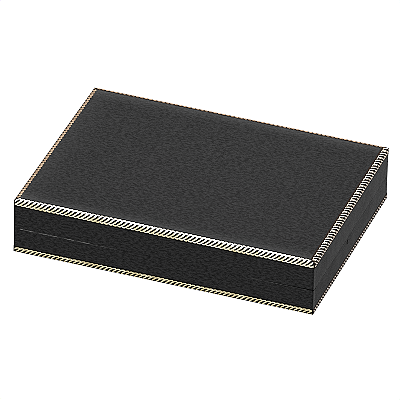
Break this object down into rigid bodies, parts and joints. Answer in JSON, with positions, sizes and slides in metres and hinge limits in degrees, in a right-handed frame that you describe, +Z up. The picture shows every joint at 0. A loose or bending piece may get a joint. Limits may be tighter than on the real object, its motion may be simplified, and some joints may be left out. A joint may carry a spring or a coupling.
{
  "type": "necklace box",
  "caption": "Flat hinged necklace box in black leatherette with gold rope edging; satin cushioned lid over a velvet pad with snap straps.",
  "frame": {"origin": "middle of the flat underside, on the surface that the box stands on", "axes": "+Z up, the front faces -Y, the hinges are at the +Y back wall, +X is the right-hand side seen from the front"},
  "size_m": [0.184, 0.1347, 0.0354],
  "materials": {
    "leatherette": "matt black leatherette with a fine pressed grain",
    "gold_rope": "metallised pale gold foil, embossed with rope strands on black",
    "underside_paper": "matt black flock paper",
    "black_plastic": "moulded, semi-matt",
    "black_velvet": "short-pile velvet",
    "white_satin": "glossy ivory satin",
    "black_ribbon": "ribbed satin ribbon",
    "grey_board": "grey board",
    "white_foam": "foam and wadding",
    "brass": "bright brass plate",
    "spring_steel": "bright spring steel"
  },
  "bodies": {
    "base": {"base_lining": "black_velvet", "base_rope_back": "gold_rope", "base_rope_front": "gold_rope", "base_rope_left": "gold_rope", "base_rope_right": "gold_rope", "base_shell": "black_plastic", "base_side_cover": "leatherette", "hinge_base_leaf_left": "brass", "hinge_base_leaf_right": "brass", "hinge_base_rivet_left_a": "brass", "hinge_base_rivet_left_b": "brass", "hinge_base_rivet_right_a": "brass", "hinge_base_rivet_right_b": "brass", "hinge_pin_left": "spring_steel", "hinge_pin_right": "spring_steel", "hinge_spring_left": "spring_steel", "hinge_spring_right": "spring_steel", "hinge_spring_rivet_left": "brass", "hinge_spring_rivet_right": "brass", "pad_board": "grey_board", "pad_foam": "white_foam", "pad_stud_left": "brass", "pad_stud_right": "brass", "pad_velvet": "black_velvet", "pull_ribbon": "black_ribbon", "underside_sheet": "underside_paper"},
    "lid": {"hinge_lid_leaf_left": "brass", "hinge_lid_leaf_right": "brass", "hinge_lid_rivet_left_a": "brass", "hinge_lid_rivet_left_b": "brass", "hinge_lid_rivet_right_a": "brass", "hinge_lid_rivet_right_b": "brass", "lid_cushion_board": "grey_board", "lid_cushion_satin": "white_satin", "lid_cushion_wadding": "white_foam", "lid_lining": "white_satin", "lid_rope_back": "gold_rope", "lid_rope_front": "gold_rope", "lid_rope_left": "gold_rope", "lid_rope_right": "gold_rope", "lid_shell": "black_plastic", "lid_side_cover": "leatherette", "lid_top_cover": "leatherette"},
    "strap_left": {"strap_cap_left": "brass", "strap_left": "black_velvet"},
    "strap_right": {"strap_cap_right": "brass", "strap_right": "black_velvet"}
  },
  "joints": [
    {"name": "lid_hinge", "type": "hinge", "parent": "base", "child": "lid", "pos_m": [0, 0.06675, 0.0166], "axis": [-1, 0, 0], "range_deg": [0, 100]},
    {"name": "strap_left_fold", "type": "hinge", "parent": "base", "child": "strap_left", "pos_m": [-0.034, 0.044, 0.00994], "axis": [-1, 0, 0], "range_deg": [0, 110]},
    {"name": "strap_right_fold", "type": "hinge", "parent": "base", "child": "strap_right", "pos_m": [0.034, 0.044, 0.00994], "axis": [-1, 0, 0], "range_deg": [0, 110]}
  ]
}
